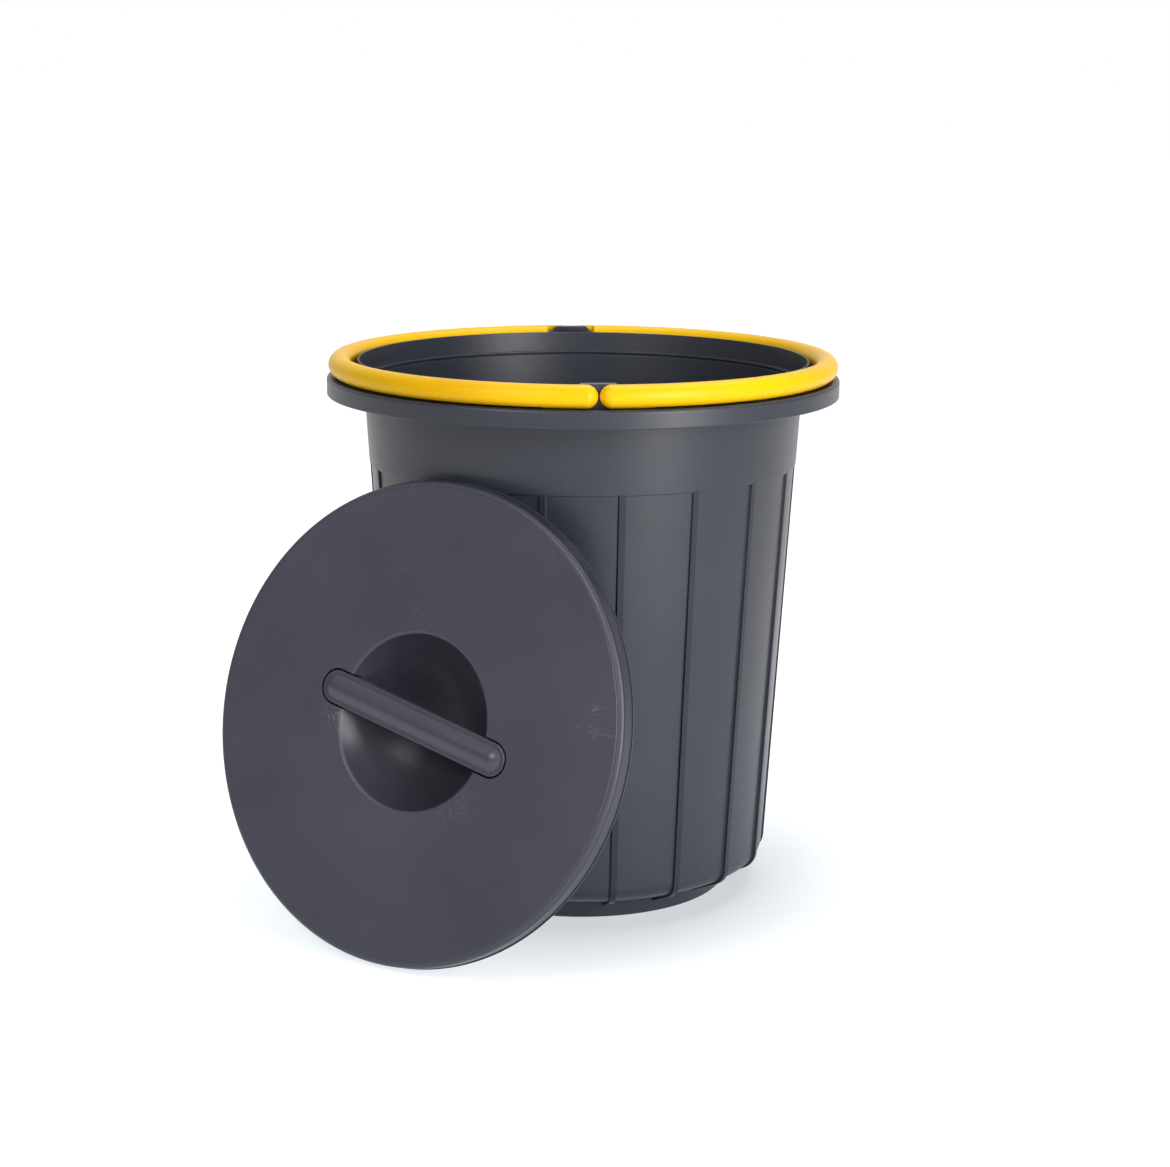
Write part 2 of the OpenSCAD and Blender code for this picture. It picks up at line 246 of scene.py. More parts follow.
class Finishes(bpy.types.PropertyGroup):
    """Colours and surface of the plastics; the scuffed places are in the lid's own frame."""

    body: colour("Body", "Colour of the bin's plastic", (0.0210, 0.0248, 0.0375))
    # Lighter than the body's plastic: partly the lid's own colour, partly a painted sheen on its face
    lid: colour("Lid", "Colour of the lid's plastic", (0.0475, 0.0490, 0.0690))
    handle: colour("Handle", "Colour of the handles' plastic", (1.0, 0.54, 0.001))
    body_rough: share("Body roughness", "Roughness of the bin", 0.38)
    lid_rough: share("Lid roughness", "Roughness of the lid", 0.40)
    bowl_rough: share("Bowl roughness", "Roughness of the polished bowl and skirt", 0.33)
    # Tone below one: the bowl and the skirt are painted darker, as shade
    bowl_shade_tone: share("Bowl tone", "Tone of the bowl and the skirt next to the lid's face", 0.59)
    grip_rough: share("Grip roughness", "Roughness of the grip bar", 0.29)
    # Tone below one: the ribs are painted darker, as the shade on their flanks
    rib_shade_tone: share("Rib tone", "Tone of the ribs next to the panels", 0.82)
    handle_rough: share("Handle roughness", "Roughness of the handles", 0.36)
    face_scuff: position("Face scuff", "Scuffed place on the lid's face", (137, 20, 0))
    rim_scuff: position("Rim scuff", "Scuffed place on the left of the bowl's rim", (-58, -4, 0))
    low_scuff: position("Low scuff", "Scuffed place low on the bowl's rim", (42, -42, 0))


class StageLook(bpy.types.PropertyGroup):
    """Camera, floor and lamps."""

    distance: length("Camera distance", "Distance of the camera from the bin's axis", 1730.2)
    height: length("Camera height", "Height of the camera above the floor", 581.5)
    azimuth: angle("Camera azimuth", "Turn of the camera from the front lug", 3.4)
    heading: angle("Camera heading", "Turn of the view off the bin's axis", 0.0754)
    pitch: angle("Camera pitch", "How far the camera looks down", 12.157)
    roll: angle("Camera roll", "Turn of the camera about its own axis", 0.44)
    lens: FloatProperty(name="Lens", description="Focal length", default=78.07, unit="CAMERA")
    ambient: share("Ambient", "Strength of the light from all round", 0.1)
    key: power("Key", "Power of the large lamp on the right", 44.0)
    fill: power("Fill", "Power of the lamp on the left", 18.0)
    top: power("Top", "Power of the lamp overhead", 20.0)


class NodeSheet:
    """A short way to add and join nodes in a tree."""

    def __init__(self, tree):
        self.tree = tree
        self.tree.nodes.clear()

    def add(self, kind, **settings):
        node = self.tree.nodes.new(kind)
        for key, value in settings.items():
            setattr(node, key, value)
        return node

    def join(self, start, end):
        self.tree.links.new(start, end)

    def feed(self, socket, value):
        """Joins a socket to another node's socket, or gives it a plain value."""
        if isinstance(value, bpy.types.NodeSocket):
            self.join(value, socket)
        else:
            socket.default_value = value

    def make(self, kind, **values):
        """Adds a node and feeds its sockets by name, an underscore standing for each space."""
        node = self.add(kind)
        for key, value in values.items():
            self.feed(node.inputs[key.replace("_", " ")], value)
        return node

    def maths(self, operation, *values, clamp=False):
        node = self.add("ShaderNodeMath", operation=operation, use_clamp=clamp)
        for socket, value in zip(node.inputs, values):
            self.feed(socket, value)
        return node.outputs[0]


def noise(sheet, place, scale, detail, stretch=(1.0, 1.0, 1.0), turn=(0.0, 0.0, 0.0)):
    """Noise on object coordinates, with its features stretched along an axis."""
    mapping = sheet.make("ShaderNodeMapping", Vector=place, Scale=stretch, Rotation=turn)
    texture = sheet.make("ShaderNodeTexNoise", Vector=mapping.outputs[0], Scale=scale, Detail=detail)
    return texture.outputs["Fac"]


def spread(sheet, value, low, high, to_low=0.0, to_high=1.0):
    """Maps a value between two limits on to two others, and stops there."""
    limits = {"From_Min": low, "From_Max": high, "To_Min": to_low, "To_Max": to_high}
    return sheet.make("ShaderNodeMapRange", Value=value, **limits).outputs[0]


def blend(sheet, factor, first, second):
    """Mixes two colours."""
    node = sheet.add("ShaderNodeMix", data_type="RGBA")
    sheet.feed(node.inputs["Factor"], factor)
    colours = [socket for socket in node.inputs if socket.type == "RGBA"]
    for socket, value in zip(colours, (first, second)):
        sheet.feed(socket, value if isinstance(value, bpy.types.NodeSocket) else (*value, 1.0))
    return next(socket for socket in node.outputs if socket.type == "RGBA")


def scribbles(sheet, place, scale):
    """Thin wandering lines, as things leave that rub against plastic."""
    field = noise(sheet, place, scale, 3.0, stretch=(1.0, 1.7, 2.3), turn=(0.4, 0.7, 0.9))
    away = sheet.maths("ABSOLUTE", sheet.maths("SUBTRACT", field, 0.5))
    return spread(sheet, away, 0.0, 0.014, 1.0, 0.0)


def rubbed_places(sheet, place, spots):
    """A mask that is strongest at the given places and fades out round them."""
    mask = 0.0
    for spot in spots:
        away = sheet.add("ShaderNodeVectorMath", operation="DISTANCE")
        sheet.join(place, away.inputs[0])
        away.inputs[1].default_value = spot
        near = spread(sheet, away.outputs["Value"], 0.3 * SCUFF_REACH, SCUFF_REACH, 1.0, 0.0)
        mask = sheet.maths("MAXIMUM", near, mask)
    return mask


def moulded_plastic(name, tint, roughness, shine, grain, marks, rubbed):
    """Moulded plastic: fine spark-eroded grain, cloudy tone and a few thin rub marks."""
    material = bpy.data.materials.new(name)
    material.use_nodes = True
    sheet = NodeSheet(material.node_tree)
    place = sheet.add("ShaderNodeTexCoord").outputs["Object"]
    cloud = noise(sheet, place, CLOUD_SCALE, 3.0)
    mottle = noise(sheet, place, MOTTLE_SCALE, 2.0)
    fleck = noise(sheet, place, FLECK_SCALE, 1.0)
    patch = spread(sheet, noise(sheet, place, PATCH_SCALE, 1.0), 0.6, 0.72, 0.0, marks)
    patch = sheet.maths("MAXIMUM", patch, rubbed_places(sheet, place, rubbed))
    lines = sheet.maths("MAXIMUM", *(scribbles(sheet, place, scale) for scale in LINE_SCALES))
    marked = sheet.maths("MULTIPLY", lines, patch)
    marked = sheet.maths("MULTIPLY", marked, spread(sheet, mottle, 0.35, 0.6))
    pale = tuple(min(1.0, 1.14 * c + 0.001) for c in tint)
    deep = tuple(0.89 * c for c in tint)
    chalk = tuple(min(1.0, c + 0.08) for c in tint)
    base = blend(sheet, spread(sheet, cloud, 0.3, 0.7), deep, pale)
    base = blend(sheet, spread(sheet, mottle, 0.35, 0.75, 0.0, 0.3), base, tint)
    base = blend(sheet, marked, base, chalk)
    rough = spread(sheet, cloud, 0.3, 0.7, roughness - 0.04, roughness + 0.04)
    rough = sheet.maths("ADD", rough, spread(sheet, mottle, 0.3, 0.7, -0.02, 0.02))
    rough = sheet.maths("ADD", rough, sheet.maths("MULTIPLY", marked, 0.2), clamp=True)
    relief = sheet.make("ShaderNodeBump", Height=fleck, Strength=grain, Distance=GRAIN_DEPTH)
    waver = sheet.make("ShaderNodeBump", Height=cloud, Strength=0.35, Distance=WAVER_DEPTH)
    sheet.join(relief.outputs[0], waver.inputs["Normal"])
    shader = sheet.make("ShaderNodeBsdfPrincipled", Base_Color=base, Roughness=rough, IOR=1.49)
    sheet.join(waver.outputs[0], shader.inputs["Normal"])
    sheet.feed(shader.inputs["Specular IOR Level"], shine)
    sheet.make("ShaderNodeOutputMaterial", Surface=shader.outputs[0])
    return material


def paint(obj, material):
    """Gives a whole piece one material."""
    obj.data.materials.clear()
    obj.data.materials.append(material)
    for polygon in obj.data.polygons:
        polygon.material_index = 0


def finish_for(name):
    """The plastic of that name, made when it is first asked for."""
    made = bpy.data.materials.get(name)
    if made:
        return made
    looks = bpy.context.scene.bin_finishes
    # Tint, its tone (below one on the ribs and the bowl, where shade is painted in), roughness, shine,
    # depth of grain, strength of the rub marks
    kinds = {
        "body plastic": (looks.body, 1.0, looks.body_rough, 0.5, 0.2, 0.3),
        "rib plastic": (looks.body, looks.rib_shade_tone, looks.body_rough, 0.33, 0.2, 0.2),
        "lid plastic": (looks.lid, 1.0, looks.lid_rough, 0.45, 0.15, 0.3),
        "bowl plastic": (looks.lid, looks.bowl_shade_tone, looks.bowl_rough, 0.4, 0.05, 0.0),
        "grip plastic": (looks.lid, 1.0, looks.grip_rough, 0.5, 0.0, 0.3),
        "handle plastic": (looks.handle, 1.0, looks.handle_rough, 0.2, 0.08, 0.1),
    }
    tint, tone, roughness, shine, grain, marks = kinds[name]
    rubbed = []
    if name == "lid plastic":
        on_lid = lid_place(bpy.context.scene.bin_lid)
        spots = (looks.face_scuff, looks.rim_scuff, looks.low_scuff)
        rubbed = [on_lid @ Vector(spot) for spot in spots]
    return moulded_plastic(name, [tone * c for c in tint], roughness, shine, grain, marks, rubbed)


def rounded(corners, arc_steps=6, closed=False):
    """A polyline through (x, y, radius) corners, with each corner rounded by an arc.

    A support point stands just outside each arc's ends, so that flat stretches shade flat.
    """
    points = []
    last = len(corners) - 1
    for i, (x, y, radius) in enumerate(corners):
        here = Vector((x, y))
        if radius <= 0 or (not closed and i in (0, last)):
            points.append(here)
            continue
        before = Vector(corners[i - 1][:2]) - here
        after = Vector(corners[(i + 1) % len(corners)][:2]) - here
        spare_before = before.length
        spare_after = after.length
        before.normalize()
        after.normalize()
        half = before.angle(after) / 2
        reach = radius / math.tan(half)
        middle = here + (before + after).normalized() * (radius / math.sin(half))
        start = here + before * reach
        turn = math.pi - 2 * half
        side = 1 if before.x * after.y - before.y * after.x < 0 else -1
        support = min(0.25 * reach, SUPPORT)
        if spare_before > reach + support:
            points.append(start + before * support)
        for k in range(arc_steps + 1):
            swing = Matrix.Rotation(side * turn * k / arc_steps, 2)
            points.append(middle + swing @ (start - middle))
        if spare_after > reach + support:
            points.append(here + after * (reach + support))
    return points


def finished(name, mesh, material):
    """An object at the origin with that mesh, painted and smooth."""
    obj = bpy.data.objects.new(name, mesh)
    bpy.context.scene.collection.objects.link(obj)
    paint(obj, material)
    tidy(obj)
    return obj


def arc(middle, radius, start, end, steps):
    """Points along an arc, both ends kept."""
    turns = [start + (end - start) * k / steps for k in range(steps + 1)]
    return [middle + radius * Vector((math.cos(a), math.sin(a))) for a in turns]


def smooth_mesh(name, vertices, faces, material):
    """A smooth-shaded object at the origin."""
    mesh = bpy.data.meshes.new(name)
    mesh.from_pydata([tuple(v) for v in vertices], [], faces)
    mesh.validate()
    return finished(name, mesh, material)


def tidy(obj):
    """Merges doubles, points the faces outwards and shades them smooth."""
    work = bmesh.new()
    work.from_mesh(obj.data)
    bmesh.ops.remove_doubles(work, verts=work.verts, dist=SAME_POINT)
    bmesh.ops.recalc_face_normals(work, faces=work.faces)
    for face in work.faces:
        face.smooth = True
    work.to_mesh(obj.data)
    work.free()


def revolve(name, outline, steps, material):
    """A closed solid of revolution about Z, from an outline whose ends lie on the axis."""
    vertices, faces = [], []
    rows = []
    for point in outline:
        if point.x < ON_AXIS:
            rows.append([len(vertices)] * steps)
            vertices.append((0.0, 0.0, point.y))
            continue
        rows.append(list(range(len(vertices), len(vertices) + steps)))
        for k in range(steps):
            a = 2 * math.pi * k / steps
            vertices.append((point.x * math.cos(a), point.x * math.sin(a), point.y))
    for low, high in zip(rows, rows[1:]):
        for k in range(steps):
            n = (k + 1) % steps
            ring = [low[k], low[n], high[n], high[k]]
            kept = [v for i, v in enumerate(ring) if v not in ring[:i]]
            if len(kept) > 2:
                faces.append(kept)
    return smooth_mesh(name, vertices, faces, material)


def heel_corner(sizes, wall_foot, seat):
    """Where the leaning wall line meets the underside line through seat."""
    slope = math.tan(sizes.taper)
    rise = math.tan(sizes.heel_slope)
    run = (wall_foot + seat.y * slope - seat.x) / (1 - rise * slope)
    return Vector((seat.x + run, seat.y + run * rise))


def shell_levels(sizes):
    """The radii and heights that the shell, the ribs and the lugs share."""
    slope = math.tan(sizes.taper)
    band_z = sizes.rim_height - sizes.band_height
    band_r = sizes.throat_radius + sizes.wall - sizes.band_height * slope
    panel_foot = band_r - sizes.panel_recess - band_z * slope
    return slope, band_z, band_r, panel_foot


def shell_outline(s):
    """Outline of the shell's section, from the middle of the floor's underside round to its top."""
    slope, band_z, band_r, panel_foot = shell_levels(s)
    low_r = s.foot_radius - s.foot_draft
    heel = heel_corner(s, panel_foot, Vector((s.foot_radius, s.foot_height)))
    throat = s.throat_radius - s.ledge_drop * slope
    collar_in = throat + s.ledge_width
    collar_out = collar_in + s.collar_wall
    collar_top = s.rim_height + s.collar_height
    lip = (s.collar_wall - s.collar_draft) / 2
    ledge_z = s.rim_height - s.ledge_drop
    lip_z = ledge_z - s.ledge_lip
    groove_z = lip_z - 1.5 * s.ledge_groove
    under_z = s.rim_height - s.wall
    inner_foot = s.foot_radius - s.foot_wall
    inner_seat = Vector((
        inner_foot,
        s.foot_height + s.wall / math.cos(s.heel_slope) - s.foot_wall * math.tan(s.heel_slope),
    ))
    inner_wall = panel_foot - s.wall / math.cos(s.taper)
    inner_heel = heel_corner(s, inner_wall, inner_seat)
    skirt_in = s.rim_radius - s.wall
    skirt_z = s.rim_height - s.skirt_height
    c = s.corner
    fine = 0.5 * c
    corners = [
        (0, 0, 0),
        (low_r, 0, 2 * c),
        (s.foot_radius, s.foot_height, fine),
        (heel.x, heel.y, s.heel_radius),
        (band_r - s.panel_recess, band_z, fine),
        (band_r, band_z, c),
        (band_r + (under_z - band_z) * slope, under_z, c),
        (skirt_in, under_z, c),
        (skirt_in, skirt_z, c),
        (s.rim_radius, skirt_z, c),
        (s.rim_radius, s.rim_height, s.rim_round),
        (collar_out, s.rim_height, c),
        (collar_out, collar_top, 0.98 * lip),
        (collar_in + s.collar_draft, collar_top, 0.98 * lip),
        (collar_in, ledge_z, fine),
        (throat, ledge_z, fine),
        (throat - s.ledge_lip * slope, lip_z, fine),
        (throat - s.ledge_lip * slope + s.ledge_groove, lip_z, 0.3 * fine),
        (throat + s.ledge_groove, groove_z, 0.3 * fine),
        (throat - (ledge_z - groove_z) * slope, groove_z, fine),
        (inner_wall + band_z * slope, band_z, s.heel_radius),
        (inner_heel.x, inner_heel.y, s.heel_radius - s.wall),
        (inner_seat.x, inner_seat.y, 2 * c),
        (inner_foot - s.foot_draft, s.foot_wall, 3 * c),
        (0, s.foot_wall, 0),
    ]
    return rounded(corners)


class BIN_OT_shell(bpy.types.Operator):
    """Mould the shell: foot, heel, panels, band, rim, ledge and collar"""

    bl_idname = "bin.shell"
    bl_label = "Shell"

    def execute(self, context):
        sizes = context.scene.bin_shell
        shell = revolve("bin_shell", shell_outline(sizes), sizes.steps, finish_for("body plastic"))
        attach(shell, "bin")
        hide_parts("bin_body")
        return {"FINISHED"}


def rib_section(ribs, height):
    """Half of a rib's section as (across, outward) points, from the wall up to the middle."""
    half = ribs.width / 2
    corners = [
        (half + 2 * ribs.root, -ribs.sink, 0),
        (half + 1.2 * ribs.root, -0.1 * ribs.sink, 0),
        (half, 0, ribs.root),
        (half, height, ribs.edge),
        (0, height, 0),
    ]
    return rounded(corners, arc_steps=4)


def rib_path(shell, ribs):
    """Stations down a panel and round the heel: (place on the wall, outward normal, rib height)."""
    slope, band_z, _, panel_foot = shell_levels(shell)
    seat = Vector((shell.foot_radius, shell.foot_height))
    heel = heel_corner(shell, panel_foot, seat)
    top = band_z + 2 * shell.corner
    line = rounded([
        (panel_foot + top * slope, top, 0),
        (heel.x, heel.y, shell.heel_radius),
        (seat.x, seat.y, 0),
    ], arc_steps=14)
    under = Vector((-math.cos(shell.heel_slope), -math.sin(shell.heel_slope)))
    line[-1] += under * 0.6 * shell.foot_wall
    parts = 8
    line = [line[0].lerp(line[1], k / parts) for k in range(parts)] + line[1:]
    stations = []
    for i, here in enumerate(line):
        ahead = line[min(i + 1, len(line) - 1)] - line[max(i - 1, 0)]
        normal = Vector((-ahead.y, ahead.x)).normalized()
        drop = min(1.0, (band_z - here.y) / (band_z - heel.y))
        height = shell.panel_recess + (ribs.rise - shell.panel_recess) * drop
        stations.append((here, normal, height))
    return stations


def one_rib(shell, ribs):
    """The mesh of one rib, in the XZ plane on the +X side."""
    vertices, faces = [], []
    stations = rib_path(shell, ribs)
    for here, normal, height in stations:
        half = rib_section(ribs, height)
        for p in half + [Vector((-p.x, p.y)) for p in reversed(half[:-1])]:
            out = here + normal * p.y
            vertices.append((out.x, p.x, out.y))
    rows = len(stations)
    count = len(vertices) // rows
    for i in range(rows - 1):
        for k in range(count):
            n = (k + 1) % count
            a, b = i * count, (i + 1) * count
            faces.append((a + k, a + n, b + n, b + k))
    faces.append(tuple(range(count)))
    faces.append(tuple(range((rows - 1) * count, rows * count)))
    return vertices, faces


def ring_of_copies(material):
    """A node tree that sets copies of its geometry round Z, turned by an even step."""
    tree = bpy.data.node_groups.new("Ring of ribs", "GeometryNodeTree")
    sheet = NodeSheet(tree)
    tree.interface.new_socket("Geometry", in_out="INPUT", socket_type="NodeSocketGeometry")
    tree.interface.new_socket("Count", in_out="INPUT", socket_type="NodeSocketInt")
    tree.interface.new_socket("Phase", in_out="INPUT", socket_type="NodeSocketFloat")
    tree.interface.new_socket("Geometry", in_out="OUTPUT", socket_type="NodeSocketGeometry")
    given = sheet.add("NodeGroupInput")
    points = sheet.make("GeometryNodePoints", Count=given.outputs["Count"])
    index = sheet.add("GeometryNodeInputIndex")
    step = sheet.maths("DIVIDE", 2 * math.pi, given.outputs["Count"])
    turn = sheet.maths("ADD", sheet.maths("MULTIPLY", index.outputs[0], step), given.outputs["Phase"])
    rotation = sheet.make("ShaderNodeCombineXYZ", Z=turn)
    copies = sheet.make("GeometryNodeInstanceOnPoints", Points=points.outputs[0])
    sheet.join(given.outputs["Geometry"], copies.inputs["Instance"])
    sheet.join(rotation.outputs[0], copies.inputs["Rotation"])
    real = sheet.make("GeometryNodeRealizeInstances", Geometry=copies.outputs[0])
    finish = sheet.make("GeometryNodeSetMaterial", Geometry=real.outputs[0], Material=material)
    result = sheet.add("NodeGroupOutput")
    sheet.join(finish.outputs[0], result.inputs[0])
    return tree


def plain_mesh(obj):
    """The mesh that an object's modifiers or curve settings give."""
    return bpy.data.meshes.new_from_object(obj.evaluated_get(bpy.context.evaluated_depsgraph_get()))


def grow_nodes(obj, tree, **inputs):
    """Runs a node tree on an object and keeps the plain mesh that comes out."""
    modifier = obj.modifiers.new("Grow", "NODES")
    modifier.node_group = tree
    sockets = [item for item in tree.interface.items_tree if item.in_out == "INPUT"]
    named = {item.name: item.identifier for item in sockets}
    for key, value in inputs.items():
        modifier[named[key]] = value
    mesh = plain_mesh(obj)
    obj.modifiers.remove(modifier)
    obj.data = mesh


class BIN_OT_ribs(bpy.types.Operator):
    """Set the upright ribs round the shell"""

    bl_idname = "bin.ribs"
    bl_label = "Ribs"

    def execute(self, context):
        scene = context.scene
        # A darker copy of the body's plastic: painted shade on the ribs
        material = finish_for("rib plastic")
        vertices, faces = one_rib(scene.bin_shell, scene.bin_ribs)
        ribs = smooth_mesh("ribs", vertices, faces, material)
        phase = scene.bin_ribs.phase - math.pi / 2
        grow_nodes(ribs, ring_of_copies(material), Count=scene.bin_ribs.count, Phase=phase)
        ribs.data.set_sharp_from_angle(angle=math.radians(40))
        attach(ribs, "bin")
        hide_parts("bin_body")
        return {"FINISHED"}


def flat_curve(name, loops, thickness, edge):
    """A plate with rounded edges and holes: the first loop is its outline, the others are holes."""
    curve = bpy.data.curves.new(name, "CURVE")
    curve.dimensions = "2D"
    curve.fill_mode = "BOTH"
    curve.extrude = thickness / 2 - edge
    curve.bevel_depth = edge
    curve.bevel_resolution = 3
    curve.offset = -edge
    for loop in loops:
        spline = curve.splines.new("POLY")
        spline.points.add(len(loop) - 1)
        for point, place in zip(spline.points, loop):
            point.co = (place.x, place.y, 0.0, 1.0)
        spline.use_cyclic_u = True
    obj = bpy.data.objects.new(name, curve)
    bpy.context.scene.collection.objects.link(obj)
    mesh = plain_mesh(obj)
    bpy.data.objects.remove(obj)
    return mesh


class BIN_OT_lugs(bpy.types.Operator):
    """Set the two handle lugs on the rim"""

    bl_idname = "bin.lugs"
    bl_label = "Lugs"

    def execute(self, context):
        shell, lug = context.scene.bin_shell, context.scene.bin_lugs
        low = shell.rim_height - shell.wall / 2
        high = BODY_HIGH.z
        half = lug.half_width
        outline = rounded([
            (-half, low, 0),
            (half, low, 0),
            (half, high - lug.corner, 3 * lug.edge),
            (half - lug.corner, high, 3 * lug.edge),
            (-half + lug.corner, high, 3 * lug.edge),
            (-half, high - lug.corner, 3 * lug.edge),
        ], closed=True)
        pivots = [Vector((side * lug.pivot_side, lug.pivot_height)) for side in (-1, 1)]
        bores = [arc(pivot, lug.bore, 0, 2 * math.pi, 48)[:-1] for pivot in pivots]
        middle = lug.inner + lug.thickness / 2
        for name, turn in (("front_lug", 0.0), ("back_lug", math.pi)):
            mesh = flat_curve(name, [outline, *bores], lug.thickness, lug.edge)
            mesh.transform(Matrix.Rotation(math.pi / 2, 4, "X"))
            mesh.transform(Matrix.Rotation(turn, 4, "Z") @ Matrix.Translation((0, -middle, 0)))
            piece = finished(name, mesh, finish_for("body plastic"))
            mesh.set_sharp_from_angle(angle=math.radians(50))
            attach(piece, "bin")
            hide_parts("bin_body")
        return {"FINISHED"}


class BIN_OT_handles(bpy.types.Operator):
    """Finish the two half-ring handles"""

    bl_idname = "bin.handles"
    bl_label = "Handles"

    def execute(self, context):
        for node in ("left_handle", "right_handle"):
            paint(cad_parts[node], finish_for("handle plastic"))
        return {"FINISHED"}


def lid_place(lid):
    """The lid's own frame: the middle of its face, with Z out of the face."""
    turned = Matrix.Rotation(-lid.azimuth, 4, "Z") @ Matrix.Rotation(math.pi / 2 - lid.tilt, 4, "X")
    back = turned.inverted()
    seen = [back @ vertex.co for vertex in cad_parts["lid"].data.vertices]
    middle = Vector((
        (min(p.x for p in seen) + max(p.x for p in seen)) / 2,
        (min(p.y for p in seen) + max(p.y for p in seen)) / 2,
        max(p.z for p in seen),
    ))
    return turned @ Matrix.Translation(middle)


def lid_edge_outline(lid):
    """Section of the lid's edge: from the face round the skirt and back under the face."""
    shelf = lid.skirt_radius - lid.shoulder
    low = lid.depth - lid.lip
    return rounded([
        (lid.bowl_radius + 3 * lid.bowl_edge, 0, 0),
        (shelf - 3 * lid.edge, 0, lid.edge),
        (shelf - 2 * lid.edge, -lid.step, 0.5 * lid.edge),
        (lid.skirt_radius - lid.edge, -lid.step, lid.shoulder - lid.edge),
        (lid.skirt_radius, lid.groove - low, 0.5 * lid.edge),
        (lid.skirt_radius - lid.groove, lid.groove / 2 - low, 0.2 * lid.edge),
        (lid.skirt_radius, -low, 0.2 * lid.edge),
        (lid.lip_radius, -low, lid.edge),
        (lid.lip_radius, -lid.depth, lid.edge),
        (lid.skirt_inside, -lid.depth, lid.edge),
        (lid.skirt_inside - lid.edge, -lid.wall, lid.shoulder - lid.wall / 2),
        (lid.bowl_radius + 3 * lid.bowl_edge, -lid.wall, 0),
    ])


def bowl_ball(lid):
    """Radius and centre of the ball that the finger bowl follows."""
    ball = (lid.bowl_radius ** 2 + lid.bowl_depth ** 2) / (2 * lid.bowl_depth)
    return ball, Vector((0, ball - lid.bowl_depth))


def lid_outline(lid):
    """The lid's whole section: bowl, rolled rim, face, edge, underside and the bowl's outside."""
    ball, centre = bowl_ball(lid)
    rim_r = math.sqrt((ball + lid.bowl_edge) ** 2 - (centre.y + lid.bowl_edge) ** 2)
    rim = Vector((rim_r, -lid.bowl_edge))
    meet = math.atan2(rim.y - centre.y, rim.x)
    bowl = arc(centre, ball, -math.pi / 2, meet, 48)
    roll = arc(rim, lid.bowl_edge, meet + math.pi, math.pi / 2, 8)
    outside = math.asin(-(centre.y + lid.wall) / (ball + lid.wall))
    back = arc(centre, ball + lid.wall, outside, -math.pi / 2, 32)
    bowl[0].x = back[-1].x = 0
    return bowl + roll[1:] + lid_edge_outline(lid) + back


def stadium_block(name, half, levels, steps=24, finish="lid plastic"):
    """A block of stadium section along X; levels are its (end radius, height) from the bottom up."""
    vertices, faces = [], []
    count = 2 * (steps + 1)
    for radius, height in levels:
        right = arc(Vector((half, 0)), radius, -math.pi / 2, math.pi / 2, steps)
        left = arc(Vector((-half, 0)), radius, math.pi / 2, 1.5 * math.pi, steps)
        vertices += [(p.x, p.y, height) for p in right + left]
    for i in range(len(levels) - 1):
        for k in range(count):
            n = (k + 1) % count
            faces.append((i * count + k, i * count + n, (i + 1) * count + n, (i + 1) * count + k))
    faces.append(tuple(reversed(range(count))))
    faces.append(tuple(range((len(levels) - 1) * count, len(levels) * count)))
    return smooth_mesh(name, vertices, faces, finish_for(finish))


def combined(obj, steps):
    """Joins or cuts helper solids, given as (operation, helper), and keeps the plain mesh."""
    for operation, helper in steps:
        modifier = obj.modifiers.new(helper.name, "BOOLEAN")
        modifier.operation = operation
        modifier.solver = "EXACT"
        modifier.object = helper
    mesh = plain_mesh(obj)
    obj.modifiers.clear()
    obj.data = mesh
    for _, helper in steps:
        bpy.data.objects.remove(helper)


def pocket_helpers(lid):
    """What makes the bar's pocket and clip slots, as (operation, helper), in the lid's own frame."""
    floor = -lid.pocket_depth
    over = lid.wall
    wide = lid.pocket_radius
    flare = lid.edge
    block = stadium_block("pocket block", lid.pocket_half, [
        (wide + lid.wall, floor - lid.wall),
        (wide + lid.wall, -lid.wall / 2),
    ])
    ball, centre = bowl_ball(lid)
    space = arc(centre, ball + lid.wall / 2, -math.pi / 2, math.pi / 4, 48)
    space[0].x = 0
    space.append(Vector((0, space[-1].y)))
    room = revolve("bowl room", space, lid.steps, finish_for("lid plastic"))
    combined(block, [("DIFFERENCE", room)])
    pocket = stadium_block("pocket", lid.pocket_half, [
        (wide, floor),
        (wide, -flare),
        (wide + flare, 0),
        (wide + flare, over),
    ])
    helpers = [("UNION", block), ("DIFFERENCE", pocket)]
    for side in (-1, 1):
        levels = [(lid.clip_radius, floor - 2 * lid.wall), (lid.clip_radius, floor + over)]
        slot = stadium_block("clip slot", lid.clip_width, levels)
        there = Matrix.Translation((side * lid.clip_place, 0, 0))
        slot.data.transform(there @ Matrix.Rotation(math.pi / 2, 4, "Z"))
        helpers.append(("DIFFERENCE", slot))
    for _, helper in helpers:
        helper.data.transform(Matrix.Rotation(lid.bar_turn, 4, "Z"))
    return helpers


def gloss_and_shade_bowl(shell, lid):
    """Gives the bowl's inside and the skirt the glossier plastic, darkened as painted shade; the lid is
    still in its own frame.
    """
    shell.data.materials.append(finish_for("bowl plastic"))
    ball, centre = bowl_ball(lid)
    for polygon in shell.data.polygons:
        here = polygon.center
        away = here - Vector((0, 0, centre.y))
        in_bowl = away.length < ball + lid.edge and here.z < -lid.bowl_edge / 2
        on_skirt = here.xy.length > lid.skirt_inside and here.z < -0.55 * lid.shoulder
        polygon.material_index = 1 if in_bowl or on_skirt else 0


class BIN_OT_lid(bpy.types.Operator):
    """Mould the lid with its bowl and the grip bar's pocket"""

    bl_idname = "bin.lid"
    bl_label = "Lid"

    def execute(self, context):
        lid = context.scene.bin_lid
        shell = revolve("lid_shell", lid_outline(lid), lid.steps, finish_for("lid plastic"))
        combined(shell, pocket_helpers(lid))
        # The bowl and the skirt get a darker copy of the lid's plastic: painted shade
        gloss_and_shade_bowl(shell, lid)
        shell.data.transform(lid_place(lid))
        tidy(shell)
        shell.data.set_sharp_from_angle(angle=math.radians(35))
        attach(shell, "lid")
        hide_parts("lid")
        return {"FINISHED"}


